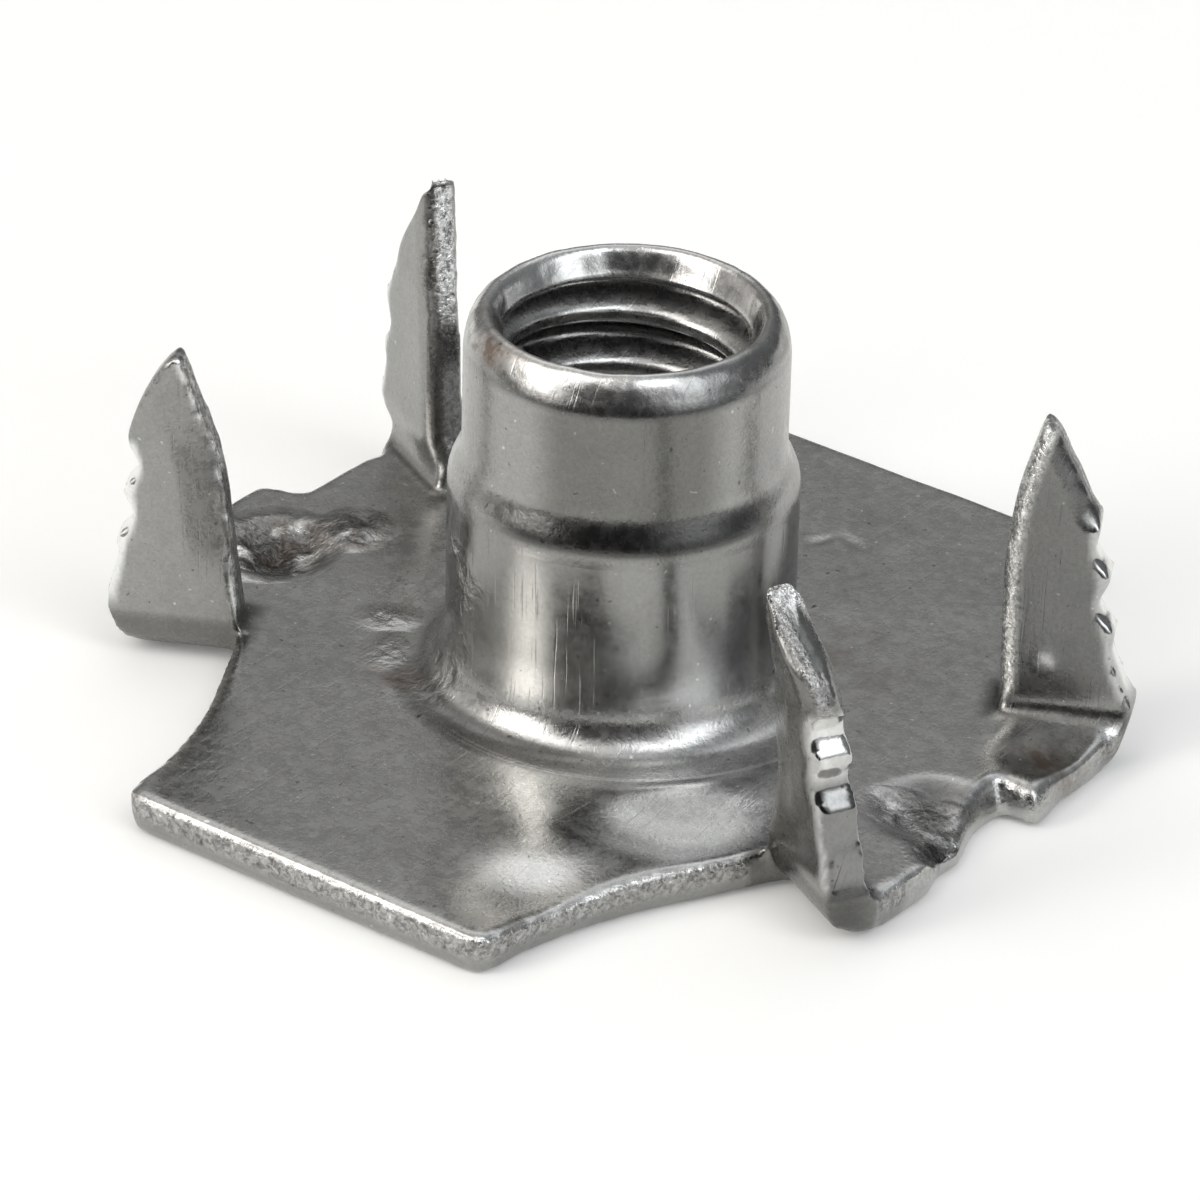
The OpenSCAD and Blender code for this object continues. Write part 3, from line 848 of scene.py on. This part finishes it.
    # relief, finest first, each with its depth in metres
    skin = node("ShaderNodeMapRange", {}, {0: polish, 1: 0.0, 2: 0.5, 3: 1.0, 4: 0.12})
    even_skin = node("ShaderNodeMath", {"operation": "MULTIPLY_ADD"},
                     {0: speck, 1: 0.6, 2: mottle})
    skin = node("ShaderNodeMath", {"operation": "MULTIPLY"}, {0: even_skin, 1: skin})
    broad = node("ShaderNodeMath", {"operation": "MULTIPLY"}, {0: crystal, 1: torn})
    worn = node("ShaderNodeMath", {"operation": "MULTIPLY"}, {0: smear, 1: scuff})
    relief = None
    for height, depth in ((skin, 0.000008), (scratch, -0.000002),
                          (score, -0.00003), (broad, 0.00008), (worn, 0.0002)):
        inputs = {"Height": height, "Strength": 1.0, "Distance": abs(depth)}
        if relief:
            inputs["Normal"] = relief
        relief = node("ShaderNodeBump", {"invert": depth < 0}, inputs)
    shader = node("ShaderNodeBsdfPrincipled", {}, {"Base Color": colour, "Metallic": 1.0,
                                                   "Roughness": rough, "Normal": relief})
    node("ShaderNodeOutputMaterial", {}, {"Surface": shader}, out=None)
    return material


def seen_rays(tree, strength):
    """strength for the rays that show the background, directly or in metal, and 0 for light."""
    seen = 0.0
    for ray in ("Is Camera Ray", "Is Glossy Ray", "Is Transmission Ray"):
        kind = add(tree, "ShaderNodeLightPath", out=ray)
        seen = add(tree, "ShaderNodeMath", {"operation": "MAXIMUM"}, {0: seen, 1: kind})
    return add(tree, "ShaderNodeMath", {"operation": "MULTIPLY"}, {0: seen, 1: strength})


def matt_painted_board(colour):
    """Board with a flat, rolled emulsion: an even white ground with no shine."""
    material = bpy.data.materials.new("matt_painted_board")
    material.use_nodes = True
    tree = material.node_tree
    tree.nodes.clear()
    board = add(tree, "ShaderNodeBsdfPrincipled", {}, {
        "Base Color": (*colour, 1), "Roughness": 0.95, "Specular IOR Level": 0.0,
        "Emission Color": (1, 1, 1, 1), "Emission Strength": seen_rays(tree, 0.12)})
    add(tree, "ShaderNodeOutputMaterial", {}, {"Surface": board}, out=None)
    return material


def tent_cloth():
    """White diffusing cloth lit from outside by panels: soft light of uneven brightness."""
    material = bpy.data.materials.new("backlit_diffusing_cloth")
    material.use_nodes = True
    tree = material.node_tree
    tree.nodes.clear()
    glow = add(tree, "ShaderNodeAttribute", {"attribute_name": "glow"}, out="Color")
    cloth = add(tree, "ShaderNodeEmission", {}, {"Color": glow, "Strength": 1.0})
    add(tree, "ShaderNodeOutputMaterial", {}, {"Surface": cloth}, out=None)
    return material


# --- the stage ----------------------------------------------------------------------------

def floor_mesh(corners=96):
    """A flat disc in metres."""
    angles = [i * math.tau / corners for i in range(corners)]
    ring = [(math.cos(a) * FLOOR_RADIUS, math.sin(a) * FLOOR_RADIUS, 0) for a in angles]
    mesh = bpy.data.meshes.new("floor")
    mesh.from_pydata(ring, [], [list(range(corners))])
    return mesh


def tent_glow(side, high):
    """Brightness of the cloth at a direction from the viewing side and a height, in degrees:
    dim, darker in front and near the floor, with the lit panels on it."""
    glow = 0.24 + 0.06 * ramp(35, 60, high)
    front = 1 - ramp(32, 50, np.abs(side + 17))
    glow *= (1 - 0.85 * front * ramp(44, 34, high)) * (1 - 0.75 * ramp(10, 2, high))
    for centre, rise, wide, tall, strength in TENT_PANELS:
        off = ((side - centre + 180) % 360 - 180) / wide
        glow += strength * np.exp(-np.abs(off) ** 3 - np.abs((high - rise) / tall) ** 3)
    return np.clip(glow, 0.02, 9)


def tent_mesh(level, rows=36, columns=96):
    """A dome whose "glow" is the colour and brightness of the cloth at each point."""
    elevation = np.radians(np.linspace(-1, 90, rows))[:, None]
    azimuth = np.linspace(0, math.tau, columns, endpoint=False)[None, :]
    points = TENT_RADIUS * np.stack([np.cos(elevation) * np.cos(azimuth),
                                     np.cos(elevation) * np.sin(azimuth),
                                     np.sin(elevation) + 0 * azimuth], -1)
    index = np.arange(rows * columns).reshape(rows, columns)
    wrap = np.roll(index, -1, axis=1)
    faces = np.stack([index[:-1], index[1:], wrap[1:], wrap[:-1]], -1)
    mesh = bpy.data.meshes.new("light_tent")
    mesh.from_pydata(points.reshape(-1, 3).tolist(), [], faces.reshape(-1, 4).tolist())
    side = from_front(azimuth) + 0 * elevation
    glow = tent_glow(side, np.degrees(elevation) + 0 * azimuth) * level
    cool = 0.035 * np.sin(np.radians(side))              # cooler on the right, warmer left
    tinted = np.stack([glow * (1 - cool), glow, glow * (1 + cool), np.ones_like(glow)], -1)
    mesh.attributes.new("glow", "FLOAT_COLOR", "POINT").data.foreach_set(
        "color", tinted.ravel())
    return mesh


def white_room():
    """A world that is white where it is seen, directly or in metal, and lights nothing else."""
    world = bpy.data.worlds.new("white_room")
    world.use_nodes = True
    tree = world.node_tree
    tree.nodes.clear()
    white = add(tree, "ShaderNodeBackground", {}, {
        "Color": (1, 1, 1, 1), "Strength": seen_rays(tree, 1.0)})
    add(tree, "ShaderNodeOutputWorld", {}, {"Surface": white}, out=None)
    return world


def aimed_camera():
    """The camera, with a long lens, rolled slightly about its direction of view."""
    lens = bpy.data.cameras.new("camera")
    lens.lens, lens.sensor_width = LENS_MM, SENSOR_MM
    lens.clip_start, lens.clip_end = 0.005, 10
    right, forward = Vector(CAMERA_RIGHT), Vector(CAMERA_FORWARD)
    up = right.cross(forward).normalized()
    roll = math.radians(CAMERA_ROLL)
    across = math.cos(roll) * right + math.sin(roll) * up
    above = -math.sin(roll) * right + math.cos(roll) * up
    turn = Matrix([across, above, -forward]).transposed().to_4x4()
    camera = bpy.data.objects.new("camera", lens)
    camera.matrix_world = Matrix.Translation(CAMERA_PLACE) @ turn
    return camera


# --- operators ----------------------------------------------------------------------------

class TNUT_OT_press_and_tap(Operator):
    """Makes the nut from its solid: the pressed flange and prongs, and the tapped barrel"""
    bl_idname = "tnut.press_and_tap"
    bl_label = "Press and tap the nut"

    def execute(self, context):
        sizes, finish = context.scene.tnut_sizes, context.scene.tnut_finish
        points, quads = without_barrel(*remeshed_solid(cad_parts["t_nut"], sizes.mesh_step))
        points, marks = press_flange(points, quads, sizes)
        rings = turned_barrel(sizes)
        start = len(points)
        points, faces = joined(points, quads, rings)
        turned = surface_marks(points[start:], vertex_normals(points, faces)[start:])
        marks = {name: np.append(marks[name], turned[name]) for name in MARKS}
        mesh = solid_mesh("t_nut_pressed", points, faces, marks)
        nut = bpy.data.objects.new("t_nut_pressed", mesh)
        context.scene.collection.objects.link(nut)
        mesh.materials.append(zinc_plated_pressed_steel(finish))
        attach(nut, "root")
        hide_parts("t_nut")
        print("nut mesh:", sum(len(f) * (f.shape[1] - 2) for f in faces), "triangles")
        return {"FINISHED"}


class TNUT_OT_set_stage(Operator):
    """Sets the pale floor, the light tent and the camera"""
    bl_idname = "tnut.set_stage"
    bl_label = "Set the stage"

    def execute(self, context):
        light = context.scene.tnut_light
        collection = context.scene.collection
        floor = bpy.data.objects.new("floor", floor_mesh())
        floor.data.materials.append(matt_painted_board(light.floor_colour))
        collection.objects.link(floor)
        tent = bpy.data.objects.new("light_tent", tent_mesh(light.level))
        tent.data.materials.append(tent_cloth())
        tent.visible_camera = False
        tent.visible_shadow = False
        collection.objects.link(tent)
        context.scene.world = white_room()
        camera = aimed_camera()
        collection.objects.link(camera)
        context.scene.camera = camera
        context.scene.view_settings.view_transform = "Standard"
        return {"FINISHED"}


class TNUT_PT_tools(Panel):
    bl_label = "Tee nut"
    bl_idname = "TNUT_PT_tools"
    bl_space_type = "VIEW_3D"
    bl_region_type = "UI"
    bl_category = "Tee nut"

    def draw(self, context):
        scene = context.scene
        for group, operator in ((scene.tnut_sizes, TNUT_OT_press_and_tap.bl_idname),
                                (scene.tnut_finish, None),
                                (scene.tnut_light, TNUT_OT_set_stage.bl_idname)):
            box = self.layout.box()
            for name in group.__annotations__:
                box.prop(group, name)
            if operator:
                box.operator(operator)


CLASSES = (PressingSizes, SteelFinish, StudioLight, TNUT_OT_press_and_tap, TNUT_OT_set_stage,
           TNUT_PT_tools)


def register():
    for cls in CLASSES:
        bpy.utils.register_class(cls)
    bpy.types.Scene.tnut_sizes = PointerProperty(type=PressingSizes)
    bpy.types.Scene.tnut_finish = PointerProperty(type=SteelFinish)
    bpy.types.Scene.tnut_light = PointerProperty(type=StudioLight)


def unregister():
    del bpy.types.Scene.tnut_sizes, bpy.types.Scene.tnut_finish, bpy.types.Scene.tnut_light
    for cls in reversed(CLASSES):
        bpy.utils.unregister_class(cls)


def main():
    register()
    bpy.ops.tnut.press_and_tap()
    bpy.ops.tnut.set_stage()


if __name__ == "__main__":
    main()
